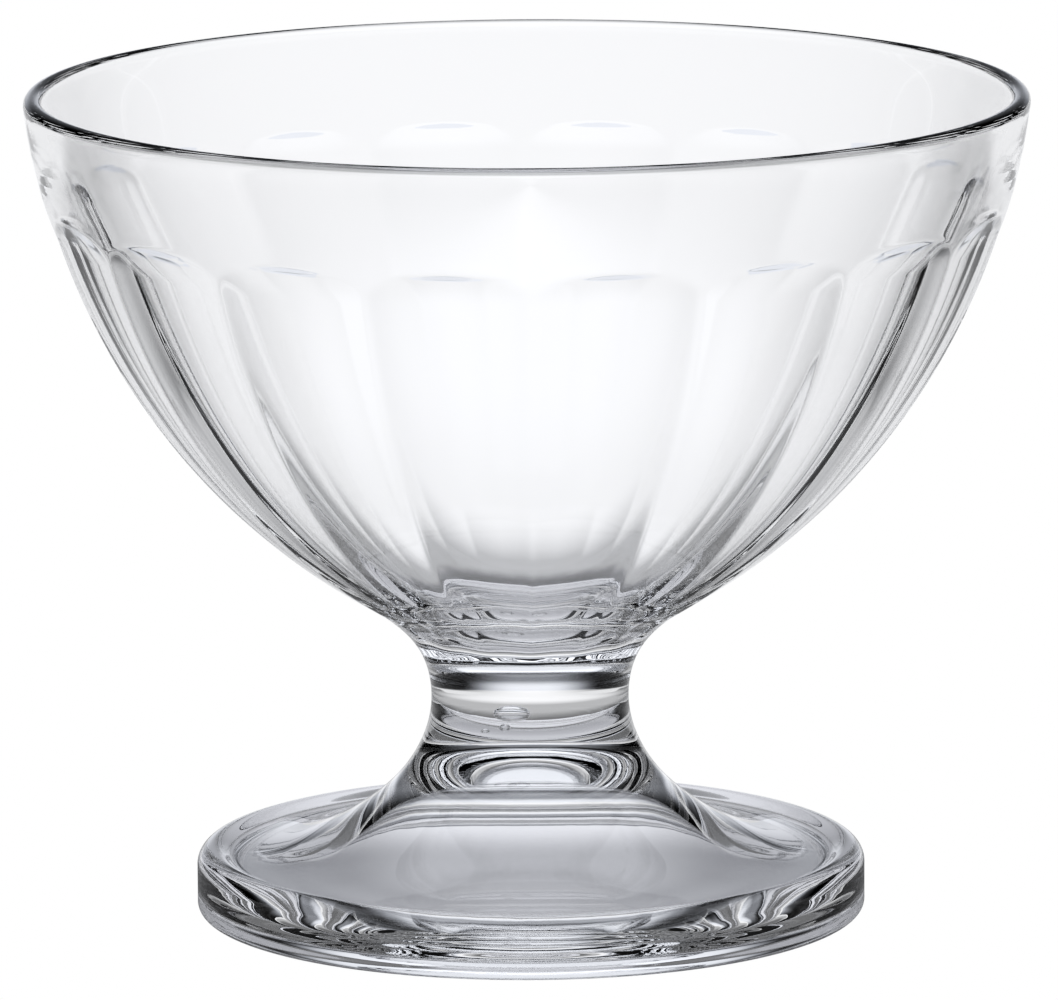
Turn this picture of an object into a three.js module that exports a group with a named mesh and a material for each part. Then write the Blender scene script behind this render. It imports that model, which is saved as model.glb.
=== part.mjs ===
// A footed dessert glass: a bowl with flat panels, a short solid stem and a hollow foot, joined at two flat seams.
// Millimetres, +Z up, the foot stands on z = 0 and the axis of the glass is the Z axis.
import * as THREE from "three";

// Bowl
const HEIGHT = 87.3;
const MOUTH_RADIUS = 52.6;
const LIP_THICKNESS = 2;
const PANELS = 18;
const BAND_HEIGHT = 11.1;
const PANEL_LEDGE = 1.3;
const LEDGE_SHARE = 0.34;
const PANEL_RUN = 3;
const FLOOR_THICKNESS = 5.6;
const BASE_RADIUS = 16.4;
const NECK_HEIGHT = 6.4;

// Stem, between the seam on the foot and the seam under the bowl
const STEM_HEIGHT = 6.5;
const STEM_TOP_RADIUS = 10.82;
const STEM_WAIST_RADIUS = 10.4;
const STEM_BOTTOM_RADIUS = 10.95;

// Foot, from the table to the seam under the stem
const FOOT_HEIGHT = 19.5;
const FOOT_RADIUS = 35.25;
const FOOT_EDGE = 6.95;
const EDGE_ROUND = 1.9;
const BASE_ROUND = 1.15;
const RING_WIDTH = 3.5;
const RING_STEP = 0.75;
const FLANK_RADIUS = 16.17;
const FLANK_HEIGHT = 12.22;

// Hollow under the foot
const BEARING_WIDTH = 1.6;
const HOLLOW_RELIEF = 1.5;
const CROWN_THICKNESS = 2.3;
const HOLLOW_SHOULDER = 13.4;
const HOLLOW_FLARE = 17.9;

// Turned pieces have four sides to each panel, so that every ridge of the bowl falls on a corner.
const SIDES = PANELS * 4;

function glass(colour) {
  return new THREE.MeshStandardMaterial({ color: colour, roughness: 0.04, metalness: 0 });
}

// Points of a smooth curve that leaves a towards b and reaches d from c, each given as [radius, height].
function bend(a, b, c, d, steps) {
  const ends = [a, b, c, d].map(([r, z]) => new THREE.Vector2(r, z));
  return new THREE.CubicBezierCurve(...ends).getPoints(steps);
}

// Points of a round from one angle to another, in degrees, anticlockwise from the outward direction.
function round(r, z, radius, from, to, steps) {
  const turn = THREE.MathUtils.degToRad;
  return new THREE.EllipseCurve(r, z, radius, radius, turn(from), turn(to), to < from).getPoints(steps);
}

// Turns an outline about the axis. It runs from the axis below, round the outside, to the axis above.
function turned(name, outline, colour) {
  const points = outline.flat().map((p) => (Array.isArray(p) ? new THREE.Vector2(...p) : p));
  const kept = points.filter((p, i) => i === 0 || p.distanceTo(points[i - 1]) > 0.01);
  const shape = new THREE.LatheGeometry(kept, SIDES).rotateX(Math.PI / 2);
  const mesh = new THREE.Mesh(shape, glass(colour));
  mesh.name = name;
  return mesh;
}

// Heights of the two seams
const footSeam = FOOT_HEIGHT;
const bowlSeam = footSeam + STEM_HEIGHT;

// Stem: a solid button with a slight waist, whose ends lean the way that the neck and the foot go on
const waistPull = 2 * STEM_WAIST_RADIUS - (STEM_BOTTOM_RADIUS + STEM_TOP_RADIUS) / 2;
const waist = new THREE.QuadraticBezierCurve(
  new THREE.Vector2(STEM_BOTTOM_RADIUS, footSeam),
  new THREE.Vector2(waistPull, (footSeam + bowlSeam) / 2),
  new THREE.Vector2(STEM_TOP_RADIUS, bowlSeam),
);
const stem = turned("stem", [[[0, footSeam]], waist.getPoints(8), [[0, bowlSeam]]], 0xdfe9e6);

// Bowl: the wall outside, the rounded lip and the smooth wall inside
const lipRound = LIP_THICKNESS / 2;
const lipHeight = HEIGHT - lipRound;
const lipRadius = MOUTH_RADIUS - lipRound;
const innerRadius = MOUTH_RADIUS - LIP_THICKNESS;
const baseHeight = bowlSeam + NECK_HEIGHT;
const floorHeight = bowlSeam + FLOOR_THICKNESS;
const wallDrop = lipHeight - baseHeight;
const wallSpan = MOUTH_RADIUS - BASE_RADIUS;
const bowlDepth = lipHeight - floorHeight;
const panelTop = HEIGHT - BAND_HEIGHT;

const neckHandle = 0.38 * NECK_HEIGHT;
const neckLean = (STEM_TOP_RADIUS - waistPull) / (STEM_HEIGHT / 2);
const neck = bend(
  [STEM_TOP_RADIUS, bowlSeam],
  [STEM_TOP_RADIUS + neckLean * neckHandle, bowlSeam + neckHandle],
  [BASE_RADIUS - 0.55 * (BASE_RADIUS - STEM_TOP_RADIUS), baseHeight - 0.27 * NECK_HEIGHT],
  [BASE_RADIUS, baseHeight],
  6,
);
const wall = new THREE.CubicBezierCurve(
  new THREE.Vector2(BASE_RADIUS, baseHeight),
  new THREE.Vector2(BASE_RADIUS + 0.63 * wallSpan, baseHeight + 0.24 * wallDrop),
  new THREE.Vector2(MOUTH_RADIUS - 0.062 * wallSpan, lipHeight - 0.345 * wallDrop),
  new THREE.Vector2(MOUTH_RADIUS, lipHeight),
);

// Point of the outside wall at a height, by halving the range of the curve
function wallAt(height) {
  let low = 0;
  let high = 1;
  for (let i = 0; i < 40; i++) {
    const middle = (low + high) / 2;
    if (wall.getPoint(middle).y < height) low = middle;
    else high = middle;
  }
  return wall.getPoint(low);
}

// Rows under the plain band where the tops of the panels turn: a low ledge, then a short run to the full flat
const turns = [0, 0.5, 1].map((part) => part * PANEL_LEDGE);
const runs = [0.25, 0.5, 1].map((part) => PANEL_LEDGE + part * PANEL_RUN);
const panelRows = [...turns, ...runs].map((drop) => wallAt(panelTop - drop));
const clear = 0.6 * PANEL_LEDGE;
const outside = wall.getPoints(16).filter((p) => panelRows.every((q) => Math.abs(p.y - q.y) > clear));
const inside = bend(
  [innerRadius, lipHeight],
  [innerRadius - 2.1, lipHeight - 0.355 * bowlDepth],
  [0.545 * innerRadius, floorHeight],
  [0, floorHeight],
  16,
);
const bowl = turned(
  "bowl",
  [
    [[0, bowlSeam]],
    neck,
    [...outside, ...panelRows].sort((p, q) => p.y - q.y),
    round(lipRadius, lipHeight, lipRound, 0, 180, 6),
    inside,
  ],
  0xe6efec,
);

// Share of a panel's full depth at a height: all of it on the flat, none at the plain band and at the neck
function panelDepth(height) {
  const under = panelTop - height;
  const ledge = THREE.MathUtils.clamp(under / PANEL_LEDGE, 0, 1);
  const run = THREE.MathUtils.clamp((under - PANEL_LEDGE) / PANEL_RUN, 0, 1);
  const top = LEDGE_SHARE * ledge + (1 - LEDGE_SHARE) * run * (2 - run);
  return Math.min(top, (height - baseHeight) / PANEL_LEDGE);
}

// Each panel is a flat from ridge to ridge.
const halfPitch = Math.PI / PANELS;
const corners = bowl.geometry.attributes.position;
const rows = corners.count / (SIDES + 1);
for (let i = 0; i < corners.count; i++) {
  const x = corners.getX(i);
  const y = corners.getY(i);
  const z = corners.getZ(i);
  const onOutside = i % rows < rows - inside.length;
  if (!onOutside || z >= panelTop || z <= baseHeight) continue;
  const angle = Math.atan2(x, -y) + 2 * Math.PI;
  const fromMiddle = (angle % (2 * halfPitch)) - halfPitch;
  const flat = (1 - panelDepth(z) * (1 - Math.cos(halfPitch))) / Math.cos(fromMiddle);
  corners.setX(i, x * Math.min(1, flat));
  corners.setY(i, y * Math.min(1, flat));
}
bowl.geometry.computeVertexNormals();

// Foot: deep hollow, flat bearing ring, rounded edge, ring step, shallow saucer and a flank up to the stem
const bearingOuter = FOOT_RADIUS - BASE_ROUND;
const bearingInner = bearingOuter - BEARING_WIDTH;
const hollowOuter = bearingInner - HOLLOW_RELIEF;
const hollowEnd = [hollowOuter - 0.5, HOLLOW_RELIEF];
const hollowTop = footSeam - CROWN_THICKNESS;
const ringRadius = FOOT_RADIUS - RING_WIDTH;
const ringHeight = FOOT_EDGE - RING_STEP;
const edgeRound = [FOOT_RADIUS - EDGE_ROUND, FOOT_EDGE - EDGE_ROUND];
const flankRise = footSeam - FLANK_HEIGHT;
const flankSpan = FLANK_RADIUS - STEM_BOTTOM_RADIUS;
const saucerSpan = ringRadius - FLANK_RADIUS;
const foot = turned(
  "foot",
  [
    bend([0, hollowTop], [HOLLOW_SHOULDER, hollowTop], [HOLLOW_FLARE, HOLLOW_RELIEF], hollowEnd, 14),
    bend(hollowEnd, [hollowOuter, HOLLOW_RELIEF], [bearingInner - 0.4, 0], [bearingInner, 0], 4),
    round(bearingOuter, BASE_ROUND, BASE_ROUND, -90, 0, 3),
    round(...edgeRound, EDGE_ROUND, 0, 90, 5),
    bend(
      [FOOT_RADIUS - EDGE_ROUND, FOOT_EDGE],
      [ringRadius + 0.6 * (RING_WIDTH - EDGE_ROUND), FOOT_EDGE],
      [ringRadius + 0.2 * (RING_WIDTH - EDGE_ROUND), ringHeight + 0.2 * RING_STEP],
      [ringRadius, ringHeight],
      3,
    ),
    bend(
      [ringRadius, ringHeight],
      [ringRadius - 0.526 * saucerSpan, ringHeight + 0.02 * saucerSpan],
      [FLANK_RADIUS + 0.137 * saucerSpan, FLANK_HEIGHT - 0.111 * saucerSpan],
      [FLANK_RADIUS, FLANK_HEIGHT],
      8,
    ),
    bend(
      [FLANK_RADIUS, FLANK_HEIGHT],
      [FLANK_RADIUS - 0.485 * flankSpan, FLANK_HEIGHT + 0.28 * flankRise],
      [STEM_BOTTOM_RADIUS + 0.178 * flankSpan, footSeam - 0.383 * flankRise],
      [STEM_BOTTOM_RADIUS, footSeam],
      6,
    ),
    [[0, footSeam]],
  ],
  0xe2ece9,
);

const dessertGlass = new THREE.Group();
dessertGlass.name = "dessert_glass";
dessertGlass.add(bowl, stem, foot);

export default dessertGlass;
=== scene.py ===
import math

import bmesh
import bpy
import numpy as np
from mathutils import Matrix, Vector


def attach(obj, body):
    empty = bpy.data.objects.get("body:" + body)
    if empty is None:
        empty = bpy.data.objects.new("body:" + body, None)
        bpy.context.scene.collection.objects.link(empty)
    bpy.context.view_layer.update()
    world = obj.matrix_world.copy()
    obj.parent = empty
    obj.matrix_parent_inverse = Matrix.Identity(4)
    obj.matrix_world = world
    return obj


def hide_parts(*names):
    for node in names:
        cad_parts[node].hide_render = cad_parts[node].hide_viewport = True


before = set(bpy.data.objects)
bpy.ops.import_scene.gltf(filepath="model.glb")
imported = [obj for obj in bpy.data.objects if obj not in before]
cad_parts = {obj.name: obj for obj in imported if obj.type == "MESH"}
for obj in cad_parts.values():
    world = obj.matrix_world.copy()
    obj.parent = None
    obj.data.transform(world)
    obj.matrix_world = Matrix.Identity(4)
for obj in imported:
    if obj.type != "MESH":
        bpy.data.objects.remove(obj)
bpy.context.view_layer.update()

MM = 0.001

# Sizes in millimetres, as in the part's source, but with a crisper ledge over the panels
HEIGHT = 87.3
MOUTH_RADIUS = 52.6
LIP_THICKNESS = 2.0
PANELS = 18
BAND_HEIGHT = 11.1
PANEL_LEDGE = 0.55
LEDGE_SHARE = 0.34
PANEL_RUN = 3.0
FLOOR_HEIGHT = 31.6
BASE_RADIUS = 16.4
BASE_HEIGHT = 32.4
BOWL_SEAM = 26.0
FOOT_SEAM = 19.5
STEM_TOP_RADIUS = 10.82
STEM_WAIST_RADIUS = 10.4
STEM_BOTTOM_RADIUS = 10.95
NECK_LEAN = 0.28
FOOT_RADIUS = 35.25
FOOT_EDGE = 6.95
EDGE_ROUND = 1.9
BASE_ROUND = 1.15
RING_WIDTH = 3.5
RING_STEP = 0.75
BEARING_WIDTH = 1.6
HOLLOW_DEPTH = 1.5

# Handles of the outside curves, as shares of their runs across and up
NECK_HANDLE = 0.38
NECK_END = (0.55, 0.27)
WALL_START = (0.63, 0.24)
WALL_END = (0.062, 0.345)
CONE_START = (0.545, 0.128)
CONE_END = (0.109, 0.511)

# Inside of the bowl: lean of the wall under the lip and fullness of the floor
INNER_LEAN = 2.1
INNER_HANDLE = 0.355
INNER_FULLNESS = 0.545

# Lower part of the cone: start on the upper curve, slope at the ring and the two handles of the curve
CONE_SPLIT = 0.59
SAUCER_SLOPE = 2.2
CONE_HANDLE = 2.75
SAUCER_HANDLE = 8.2

# Hollow under the foot
UNDER_TOP = 17.2
UNDER_SHOULDER = 13.4
UNDER_FLARE = 17.9

# Bubbles left in the stem: centre and half sizes
SEEDS = (
    ((-1.87, -7.9, 22.7), (1.83, 0.9, 0.95)),
    ((-2.55, -7.9, 21.1), (0.58, 0.5, 0.42)),
    ((-4.47, -7.4, 20.6), (0.48, 0.3, 0.26)),
)

# Fire-polished edges of the panels
RIDGE_SHARPNESS = 500.0
LEDGE_SOFTNESS = 0.05
PANEL_FADE_START = 27.0
PANEL_FADE_LENGTH = 5.0
PANEL_FADE_CLEAR = 1.02

# Steps along the curves, and the two short ones, as shares of a step, beside a seam
NECK_STEPS = 24
WALL_STEPS = 2000
INNER_STEPS = 80
STEM_STEPS = 24
UNDER_STEPS = 40
CONE_STEPS = 200
CONE_SKIP = 3
SAUCER_STEPS = 40
SEAM_STEPS = (0.1, 0.3)


def shares(steps, from_seam=False, to_seam=False):
    """Even steps from 0 to 1, with two short ones more at a seam, so that the surface runs on smoothly across it."""
    t = np.linspace(0, 1, steps + 1)
    short = np.array(SEAM_STEPS) / steps
    start = short if from_seam else []
    end = 1 - short[::-1] if to_seam else []
    return np.concatenate([t[:1], start, t[1:-1], end, t[-1:]])[:, None]


def bend(a, b, c, d, steps, from_seam=False):
    """Points of a smooth curve that leaves a towards b and reaches d from c, as [radius, height] rows."""
    t = shares(steps, from_seam)
    a, b, c, d = (np.array(p, float) for p in (a, b, c, d))
    return (1 - t) ** 3 * a + 3 * (1 - t) ** 2 * t * b + 3 * (1 - t) * t * t * c + t**3 * d


def turn(r, z, radius, start, end, steps):
    """Points of a round between two angles in degrees."""
    t = np.radians(np.linspace(start, end, steps + 1))
    return np.stack([r + radius * np.cos(t), z + radius * np.sin(t)], 1)


def chain(*parts):
    """Joins runs of points and drops repeats."""
    points = np.vstack(parts)
    kept = [points[0]]
    for p in points[1:]:
        if np.hypot(*(p - kept[-1])) > 1e-4:
            kept.append(p)
    return np.array(kept)


# Directions of the corners about the axis, close together at the ridges and wide on the flats
PITCH = 360.0 / PANELS
FROM_RIDGE = (0, 0.35, 0.7, 1.1, 1.7, 2.6, 4, 6, 8, 10)
ONE_PANEL = list(FROM_RIDGE) + [PITCH - o for o in reversed(FROM_RIDGE[1:-1])]
TURNS = np.radians(np.concatenate([np.array(ONE_PANEL) + PITCH * k for k in range(PANELS)]))


def revolve(profile):
    """Rings of points round the axis, rings by turns by xyz."""
    r, z = profile[:, 0][:, None], profile[:, 1][:, None]
    return np.stack([r * np.sin(TURNS), -r * np.cos(TURNS), np.repeat(z, len(TURNS), 1)], -1)


def skin(rings):
    """Corners and faces of a run of rings, with the number of its band for each face. A ring on the axis closes to one
    point."""
    corners, first = [], []
    for ring in rings:
        first.append(len(corners))
        if np.ptp(ring, axis=0).max() < 1e-6:
            corners.append(ring[0] * MM)
        else:
            corners.extend(ring * MM)
    ends = first[1:] + [len(corners)]
    faces, bands = [], []
    for i in range(len(rings) - 1):
        low_point, high_point = ends[i] - first[i] == 1, ends[i + 1] - first[i + 1] == 1
        for j in range(rings.shape[1]):
            k = (j + 1) % rings.shape[1]
            low = (first[i],) if low_point else (first[i] + j, first[i] + k)
            high = (first[i + 1],) if high_point else (first[i + 1] + k, first[i + 1] + j)
            faces.append(low + high)
            bands.append(i)
    return corners, faces, bands


def seed(centre, radii):
    """Rings of a small bubble in the glass."""
    down = np.linspace(-math.pi / 2, math.pi / 2, 13)[:, None]
    turns = np.linspace(0, 2 * math.pi, 24, endpoint=False)[None, :]
    level = np.sin(down) + 0 * turns
    return np.stack([np.cos(down) * np.sin(turns), -np.cos(down) * np.cos(turns), level], -1) * radii + centre


def solid(name, rings, materials, slots=None, flats=(), seeds=()):
    """A mesh from rings of points. Slots gives each band its material, flats names bands that are weld faces with a
    hard edge, and seeds are bubbles, whose faces look into the bubble."""
    corners, faces, bands = skin(rings)
    face_slots = [slots[i] if slots else 0 for i in bands]
    face_flat = [i in flats for i in bands]
    for bubble in seeds:
        more, inward, _ = skin(bubble)
        faces += [tuple(len(corners) + c for c in reversed(face)) for face in inward]
        face_slots += [0] * len(inward)
        face_flat += [False] * len(inward)
        corners += more
    mesh = bpy.data.meshes.new(name)
    mesh.from_pydata([tuple(c) for c in corners], [], faces)
    mesh.polygons.foreach_set("material_index", face_slots)
    mesh.polygons.foreach_set("use_smooth", [not f for f in face_flat])
    for m in materials:
        mesh.materials.append(m)
    shape = bmesh.new()
    shape.from_mesh(mesh)
    for edge in shape.edges:
        sides = [f.smooth for f in edge.link_faces]
        edge.smooth = len(set(sides)) == 1
    shape.to_mesh(mesh)
    shape.free()
    piece = bpy.data.objects.new(name, mesh)
    bpy.context.scene.collection.objects.link(piece)
    return piece


# Glass: clear, very slightly cool, with the faint waviness of a pressed and fire-polished surface
GLASS_COLOUR = (0.988, 0.988, 0.99, 1)
GLASS_IOR = 1.52


def glass_material(name, roughness, roughness_spread, ripple_size, ripple_depth):
    material = bpy.data.materials.new(name)
    material.use_nodes = True
    nodes, link = material.node_tree.nodes, material.node_tree.links.new
    shader = nodes["Principled BSDF"]
    shader.inputs["Base Color"].default_value = GLASS_COLOUR
    shader.inputs["IOR"].default_value = GLASS_IOR
    shader.inputs["Transmission Weight"].default_value = 1.0
    place = nodes.new("ShaderNodeTexCoord")
    wave = nodes.new("ShaderNodeTexNoise")
    wave.inputs["Scale"].default_value = 1 / (ripple_size * MM)
    wave.inputs["Detail"].default_value = 2.0
    link(place.outputs["Object"], wave.inputs["Vector"])
    bump = nodes.new("ShaderNodeBump")
    bump.inputs["Strength"].default_value = 1.0
    bump.inputs["Distance"].default_value = ripple_depth * MM
    link(wave.outputs["Fac"], bump.inputs["Height"])
    link(bump.outputs["Normal"], shader.inputs["Normal"])
    spread = nodes.new("ShaderNodeMapRange")
    spread.inputs["From Min"].default_value = 0.35
    spread.inputs["From Max"].default_value = 0.75
    spread.inputs["To Min"].default_value = roughness
    spread.inputs["To Max"].default_value = roughness + roughness_spread
    link(wave.outputs["Fac"], spread.inputs["Value"])
    link(spread.outputs["Result"], shader.inputs["Roughness"])
    return material


def weld_material():
    """Inside of a fused seam: light passes straight through, because the glass is one there."""
    material = bpy.data.materials.new("fused_seam")
    material.use_nodes = True
    nodes, link = material.node_tree.nodes, material.node_tree.links.new
    nodes.remove(nodes["Principled BSDF"])
    clear = nodes.new("ShaderNodeBsdfTransparent")
    link(clear.outputs["BSDF"], nodes["Material Output"].inputs["Surface"])
    return material


CLEAR = glass_material("clear_glass", 0.0, 0.002, 14.0, 0.001)
UNDER = glass_material("pressed_underside", 0.0, 0.02, 5.0, 0.012)
WELD = weld_material()


# Bowl
def make_bowl():
    lip_round = LIP_THICKNESS / 2
    lip_height = HEIGHT - lip_round
    inner = MOUTH_RADIUS - LIP_THICKNESS
    drop = lip_height - BASE_HEIGHT
    span = MOUTH_RADIUS - BASE_RADIUS
    depth = lip_height - FLOOR_HEIGHT
    neck_rise = BASE_HEIGHT - BOWL_SEAM
    neck_span = BASE_RADIUS - STEM_TOP_RADIUS
    neck_handle = NECK_HANDLE * neck_rise
    neck = bend(
        (STEM_TOP_RADIUS, BOWL_SEAM),
        (STEM_TOP_RADIUS + NECK_LEAN * neck_handle, BOWL_SEAM + neck_handle),
        (BASE_RADIUS - NECK_END[0] * neck_span, BASE_HEIGHT - NECK_END[1] * neck_rise),
        (BASE_RADIUS, BASE_HEIGHT),
        NECK_STEPS,
        from_seam=True,
    )
    wall = bend(
        (BASE_RADIUS, BASE_HEIGHT),
        (BASE_RADIUS + WALL_START[0] * span, BASE_HEIGHT + WALL_START[1] * drop),
        (MOUTH_RADIUS - WALL_END[0] * span, lip_height - WALL_END[1] * drop),
        (MOUTH_RADIUS, lip_height),
        WALL_STEPS,
    )
    ledge_top = HEIGHT - BAND_HEIGHT
    ledge_foot = ledge_top - PANEL_LEDGE - PANEL_RUN
    levels = wall[np.linspace(0, WALL_STEPS, 90).astype(int), 1]
    levels = np.concatenate(
        [
            levels[levels < ledge_foot - 0.4],
            np.linspace(ledge_foot - 0.3, ledge_top + 0.5, 48),
            np.linspace(ledge_top + 0.9, lip_height, 16),
        ]
    )
    wall = np.stack([np.interp(levels, wall[:, 1], wall[:, 0]), levels], 1)
    outside = chain(neck, wall)
    lip = turn(MOUTH_RADIUS - lip_round, lip_height, lip_round, 0, 180, 14)
    inside = bend(
        (inner, lip_height),
        (inner - INNER_LEAN, lip_height - INNER_HANDLE * depth),
        (INNER_FULLNESS * inner, FLOOR_HEIGHT),
        (0, FLOOR_HEIGHT),
        INNER_STEPS,
    )
    # Flats from ridge to ridge, whose tops rise in a low ledge and a short run to the plain band
    r, z = outside[:, 0][:, None], outside[:, 1][:, None]
    half = math.pi / PANELS
    sag = 1 - math.cos(half)
    under = ledge_top - z
    run = np.clip((under - PANEL_LEDGE) / PANEL_RUN, 0, 1)
    deep = LEDGE_SHARE * np.clip(under / PANEL_LEDGE, -4, 1) + (1 - LEDGE_SHARE) * run * (2 - run)
    flat = r * (1 - sag * deep)
    shown = np.clip((z - PANEL_FADE_START) / PANEL_FADE_LENGTH, 0, 1)
    flat = flat * shown + r * PANEL_FADE_CLEAR * (1 - shown)
    off = np.abs((TURNS % (2 * half)) - half)
    across = np.cos(off) ** RIDGE_SHARPNESS + np.cos(off - 2 * half) ** RIDGE_SHARPNESS
    panel = flat / across[None, :] ** (1 / RIDGE_SHARPNESS)
    least = np.minimum(r, panel)
    soft = LEDGE_SOFTNESS
    radius = least - soft * np.log(np.exp((least - r) / soft) + np.exp((least - panel) / soft))
    outer = np.stack([radius * np.sin(TURNS), -radius * np.cos(TURNS), np.repeat(z, len(TURNS), 1)], -1)
    middle = revolve(np.array([[0, BOWL_SEAM]]))
    rings = np.concatenate([middle, outer, revolve(lip[1:]), revolve(inside[1:])])
    slots = [1] + [0] * (len(rings) - 2)
    return solid("bowl_glass", rings, [CLEAR, WELD], slots, flats=(0,))


# Stem
def make_stem():
    t = shares(STEM_STEPS, from_seam=True, to_seam=True)
    low = np.array([STEM_BOTTOM_RADIUS, FOOT_SEAM])
    high = np.array([STEM_TOP_RADIUS, BOWL_SEAM])
    waist = np.array([2 * STEM_WAIST_RADIUS - (low[0] + high[0]) / 2, (FOOT_SEAM + BOWL_SEAM) / 2])
    side = (1 - t) ** 2 * low + 2 * (1 - t) * t * waist + t * t * high
    rings = revolve(chain([[0, FOOT_SEAM]], side, [[0, BOWL_SEAM]]))
    last = len(rings) - 2
    slots = [1] + [0] * (last - 1) + [1]
    seeds = [seed(*each) for each in SEEDS]
    return solid("stem_glass", rings, [CLEAR, WELD], slots, flats=(0, last), seeds=seeds)


# Foot
def make_foot():
    bearing_outer = FOOT_RADIUS - BASE_ROUND
    bearing_inner = bearing_outer - BEARING_WIDTH
    hollow = bearing_inner - HOLLOW_DEPTH
    ring = FOOT_RADIUS - RING_WIDTH
    ring_height = FOOT_EDGE - RING_STEP
    cone_drop = FOOT_SEAM - ring_height
    cone_span = ring - STEM_BOTTOM_RADIUS
    top = FOOT_RADIUS - EDGE_ROUND
    step = RING_WIDTH - EDGE_ROUND
    flare_end = (hollow - 0.5, HOLLOW_DEPTH)
    under = bend((0, UNDER_TOP), (UNDER_SHOULDER, UNDER_TOP), (UNDER_FLARE, HOLLOW_DEPTH), flare_end, UNDER_STEPS)
    upper = bend(
        (ring, ring_height),
        (ring - CONE_START[0] * cone_span, ring_height + CONE_START[1] * cone_drop),
        (STEM_BOTTOM_RADIUS + CONE_END[0] * cone_span, FOOT_SEAM - CONE_END[1] * cone_drop),
        (STEM_BOTTOM_RADIUS, FOOT_SEAM),
        CONE_STEPS,
    )[int(CONE_STEPS * CONE_SPLIT):]
    lean = (upper[0] - upper[1]) / np.hypot(*(upper[0] - upper[1]))
    slope = math.radians(SAUCER_SLOPE)
    lower = bend(
        (ring, ring_height),
        (ring - SAUCER_HANDLE * math.cos(slope), ring_height + SAUCER_HANDLE * math.sin(slope)),
        upper[0] + CONE_HANDLE * lean,
        upper[0],
        SAUCER_STEPS,
    )
    outline = chain(
        under,
        bend(flare_end, (hollow, HOLLOW_DEPTH), (bearing_inner - 0.4, 0), (bearing_inner, 0), 8),
        turn(bearing_outer, BASE_ROUND, BASE_ROUND, -90, 0, 10),
        turn(top, FOOT_EDGE - EDGE_ROUND, EDGE_ROUND, 0, 90, 14),
        bend(
            (top, FOOT_EDGE),
            (ring + 0.6 * step, FOOT_EDGE),
            (ring + 0.2 * step, ring_height + 0.2 * RING_STEP),
            (ring, ring_height),
            10,
        ),
        lower,
        upper[::CONE_SKIP],
        upper[-1:],
        [[0, FOOT_SEAM]],
    )
    rings = revolve(outline)
    last = len(rings) - 2
    slots = [2] * UNDER_STEPS + [0] * (last - UNDER_STEPS) + [1]
    return solid("foot_glass", rings, [CLEAR, WELD, UNDER], slots, flats=(last,))


for make, node in ((make_bowl, "bowl"), (make_stem, "stem"), (make_foot, "foot")):
    piece = make()
    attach(piece, "root")
    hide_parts(node)


# Sums of light in the floor and the studio, built from small node steps
class Graph:
    def __init__(self, tree):
        self.nodes, self.link = tree.nodes, tree.links.new

    def put(self, source, slot):
        if isinstance(source, (int, float, tuple)):
            slot.default_value = source
        else:
            self.link(source, slot)

    def math(self, kind, *sources):
        node = self.nodes.new("ShaderNodeMath")
        node.operation = kind
        for source, slot in zip(sources, node.inputs):
            self.put(source, slot)
        return node.outputs[0]

    def ramp(self, source, low, high, at_low, at_high):
        node = self.nodes.new("ShaderNodeMapRange")
        node.interpolation_type = "SMOOTHSTEP"
        keys = ("Value", "From Min", "From Max", "To Min", "To Max")
        for key, value in zip(keys, (source, low, high, at_low, at_high)):
            self.put(value, node.inputs[key])
        return node.outputs["Result"]

    def parts(self, source):
        node = self.nodes.new("ShaderNodeSeparateXYZ")
        self.link(source, node.inputs[0])
        return node.outputs

    def either(self, switch, off, on):
        node = self.nodes.new("ShaderNodeMix")
        node.data_type = "FLOAT"
        for value, slot in zip((switch, off, on), (node.inputs[0], node.inputs[2], node.inputs[3])):
            self.put(value, slot)
        return node.outputs[0]

    def colour(self, switch, off, on):
        node = self.nodes.new("ShaderNodeMix")
        node.data_type = "RGBA"
        for value, slot in zip((switch, off, on), (node.inputs[0], node.inputs[6], node.inputs[7])):
            self.put(value, slot)
        return node.outputs[2]

    def from_back(self, xyz, apex=0.0):
        """Angle from the direction straight behind the glass, in degrees, about a point in front of it."""
        turn = self.math("ABSOLUTE", self.math("ARCTAN2", xyz["X"], self.math("ADD", xyz["Y"], apex)))
        return self.math("MULTIPLY", turn, 180 / math.pi)


# Floor: plain white to the eye. To rays through the glass it glows with painted light and painted shade: a painted pool
# of light, brightest behind and far off, dimmer close to the foot as a painted contact shadow and at two painted dark
# gaps beside it, and a painted soft shadow under the foot. Each pair is where a change starts and ends, in metres from
# the axis or in degrees from straight behind.
FLOOR_HALF = 6.0
FLOOR_BACK = 1.06
FLOOR_FRONT = 0.42
FLOOR_SHADE = 0.45
FLOOR_BACK_SHADE = 0.85
FLOOR_FAR = 0.85
FLOOR_EDGE = 0.15
FLOOR_NEAR = 0.5
FLOOR_CONTACT_SHADOW = 0.2
SIDE_REACH = 0.5
SWEEP_APEX = 0.25
SWEEP_TURN = (0.0, 42.0)
BACK_RISE = (0.055, 0.17)
FRONT_TURN = (70.0, 140.0)
FRONT_RISE = (0.11, 0.2)
SIDE_START = (42.0, 58.0)
SIDE_END = (74.0, 90.0)
SIDE_GAP = (0.09, 0.12)
NEAR_RISE = (0.046, 0.075)
NEAR_FALL = (0.2, 0.4)
FAR_RISE = (0.14, 0.3)
FAR_FALL = (0.5, 1.5)
SHADE_RISE = (0.004, 0.032)
SHADE_BORDER = (0.033, 0.036)
FLOOR_TINT = (0.975, 0.982, 1.0, 1)
SHADE_TINT = (0.92, 0.935, 1.0, 1)
WHITE = (1, 1, 1, 1)


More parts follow.
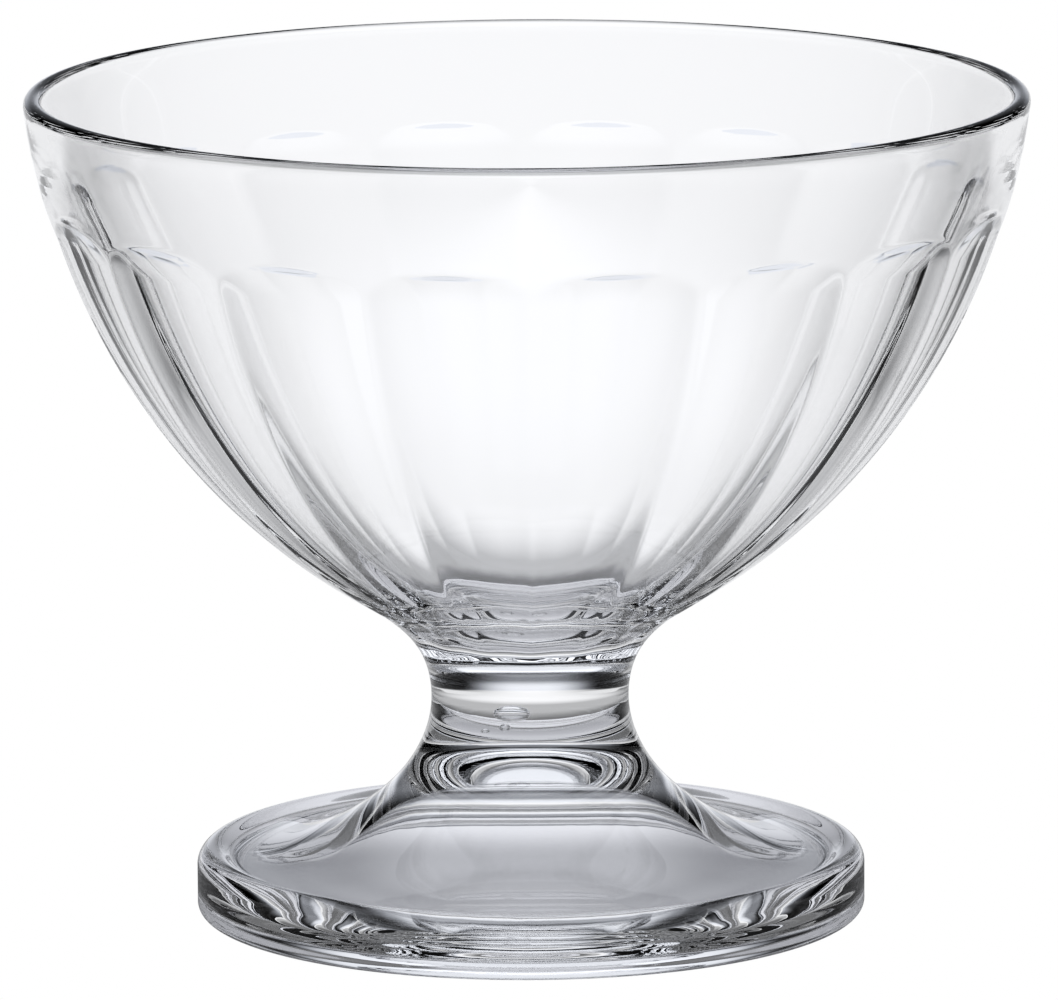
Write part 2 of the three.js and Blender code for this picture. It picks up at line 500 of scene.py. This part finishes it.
def floor_light(graph):
    """Strength of the painted light and painted shade that the glass gathers from each place on the floor, and its
    colour.
    """
    xyz = graph.parts(graph.nodes.new("ShaderNodeNewGeometry").outputs["Position"])
    squares = [graph.math("MULTIPLY", xyz[axis], xyz[axis]) for axis in ("X", "Y")]
    radius = graph.math("SQRT", graph.math("ADD", *squares))
    angle = graph.from_back(xyz)
    # Painted pool of light on the floor behind the glass
    behind = graph.ramp(graph.from_back(xyz, SWEEP_APEX), *SWEEP_TURN, 1.0, 0.0)
    back = graph.math("MULTIPLY", behind, graph.ramp(radius, *BACK_RISE, 0.0, FLOOR_BACK))
    ahead = graph.ramp(angle, *FRONT_TURN, 0.0, 1.0)
    front = graph.math("MULTIPLY", ahead, graph.ramp(radius, *FRONT_RISE, 0.0, FLOOR_FRONT))
    # Painted dark gaps on the floor at the two sides
    side = graph.math("MULTIPLY", graph.ramp(angle, *SIDE_START, 0.0, 1.0), graph.ramp(angle, *SIDE_END, 1.0, 0.0))
    gap = graph.math("MULTIPLY", side, graph.ramp(radius, *SIDE_GAP, 0.0, 1.0))
    # Painted contact shadow: the floor is dimmer in a ring close round the foot
    ring = graph.ramp(radius, *NEAR_RISE, FLOOR_CONTACT_SHADOW, FLOOR_NEAR)
    near = graph.math("MULTIPLY", ring, graph.ramp(gap, 0.0, 1.0, 1.0, 0.0))
    near = graph.math("MULTIPLY", near, graph.ramp(radius, *NEAR_FALL, 1.0, 0.0))
    reach = graph.math("MULTIPLY", radius, graph.ramp(side, 0.0, 1.0, 1.0, SIDE_REACH))
    far = graph.ramp(reach, *FAR_RISE, 0.0, FLOOR_FAR)
    far = graph.math("MULTIPLY", far, graph.ramp(radius, *FAR_FALL, 1.0, FLOOR_EDGE))
    around = graph.math("MAXIMUM", near, far)
    open_floor = graph.math("MAXIMUM", around, graph.math("ADD", back, front))
    # Painted shadow of the foot on the floor under it, lighter towards the back and tinted cool
    shade = graph.ramp(xyz["Y"], *SHADE_RISE, FLOOR_SHADE, FLOOR_BACK_SHADE)
    outside = graph.ramp(radius, *SHADE_BORDER, 0.0, 1.0)
    return graph.either(outside, shade, open_floor), graph.colour(outside, SHADE_TINT, FLOOR_TINT)


def make_floor():
    half = FLOOR_HALF
    mesh = bpy.data.meshes.new("floor")
    mesh.from_pydata([(-half, -half, 0), (half, -half, 0), (half, half, 0), (-half, half, 0)], [], [(0, 1, 2, 3)])
    floor = bpy.data.objects.new("floor", mesh)
    bpy.context.scene.collection.objects.link(floor)
    material = bpy.data.materials.new("floor_painted_light")
    material.use_nodes = True
    graph = Graph(material.node_tree)
    graph.nodes.remove(graph.nodes["Principled BSDF"])
    light, tint = floor_light(graph)
    # The camera sees plain white; rays through the glass get the painted light and painted shadow
    seen = graph.nodes.new("ShaderNodeLightPath").outputs["Is Camera Ray"]
    glow = graph.nodes.new("ShaderNodeEmission")
    graph.link(graph.colour(seen, tint, WHITE), glow.inputs["Color"])
    graph.link(graph.either(seen, light, 1.0), glow.inputs["Strength"])
    graph.link(glow.outputs["Emission"], graph.nodes["Material Output"].inputs["Surface"])
    mesh.materials.append(material)


make_floor()

# Studio: a soft light overhead, a glow low behind the glass and a dark room around it
OVERHEAD_BACK = 0.95
OVERHEAD_FRONT = 1.45
GLOW = 1.0
GLOW_HIGH = 0.3
OVERHEAD_RISE = (32.0, 54.0)
OVERHEAD_TURN = (50.0, 150.0)
GLOW_TURN = (5.0, 32.0)
GLOW_RISE = (3.0, 13.0)
GLOW_FALL = (22.0, 34.0)
ROOM_TINT = (0.90, 0.93, 1.0, 1)


def make_studio():
    world = bpy.data.worlds.new("studio")
    world.use_nodes = True
    bpy.context.scene.world = world
    graph = Graph(world.node_tree)
    sky = graph.nodes["Background"]
    sky.inputs["Color"].default_value = ROOM_TINT
    xyz = graph.parts(graph.nodes.new("ShaderNodeTexCoord").outputs["Generated"])
    up = graph.math("MULTIPLY", graph.math("ARCSINE", xyz["Z"]), 180 / math.pi)
    around = graph.from_back(xyz)
    strength = graph.ramp(around, *OVERHEAD_TURN, OVERHEAD_BACK, OVERHEAD_FRONT)
    overhead = graph.math("MULTIPLY", graph.ramp(up, *OVERHEAD_RISE, 0.0, 1.0), strength)
    glow = graph.math("MULTIPLY", graph.ramp(around, *GLOW_TURN, 1.0, 0.0), graph.ramp(up, *GLOW_RISE, GLOW, GLOW_HIGH))
    glow = graph.math("MULTIPLY", glow, graph.ramp(up, *GLOW_FALL, 1.0, 0.0))
    graph.link(graph.math("ADD", overhead, glow), sky.inputs["Strength"])


make_studio()

# Camera at the photograph's angle
CAMERA_AZIMUTH = math.radians(-0.6)
CAMERA_ELEVATION = math.radians(10.7)
CAMERA_ROLL = math.radians(-0.31)
CAMERA_DISTANCE = 1.2
AIM = Vector((0, 0, 0.0438))
lens = bpy.data.cameras.new("camera")
lens.lens = 388.5
lens.sensor_width = 36.0
lens.clip_end = 50.0
camera = bpy.data.objects.new("camera", lens)
bpy.context.scene.collection.objects.link(camera)
flat_way = CAMERA_DISTANCE * math.cos(CAMERA_ELEVATION)
eye = AIM + Vector(
    (
        flat_way * math.sin(CAMERA_AZIMUTH),
        -flat_way * math.cos(CAMERA_AZIMUTH),
        CAMERA_DISTANCE * math.sin(CAMERA_ELEVATION),
    )
)
facing = (AIM - eye).to_track_quat("-Z", "Y").to_matrix()
camera.matrix_world = Matrix.Translation(eye) @ (facing @ Matrix.Rotation(CAMERA_ROLL, 3, "Z")).to_4x4()
bpy.context.scene.camera = camera

# Tone of the picture, with a little more contrast in the dark half, and enough bounces for thick glass
TONE = ((0.08, 0.05), (0.22, 0.185), (0.41, 0.41), (0.7, 0.72))
scene = bpy.context.scene
scene.view_settings.view_transform = "Standard"
scene.view_settings.use_curve_mapping = True
tone = scene.view_settings.curve_mapping
for x, y in TONE:
    tone.curves[3].points.new(x, y)
tone.update()
scene.cycles.max_bounces = 32
scene.cycles.transmission_bounces = 32
scene.cycles.glossy_bounces = 16
scene.cycles.transparent_max_bounces = 32
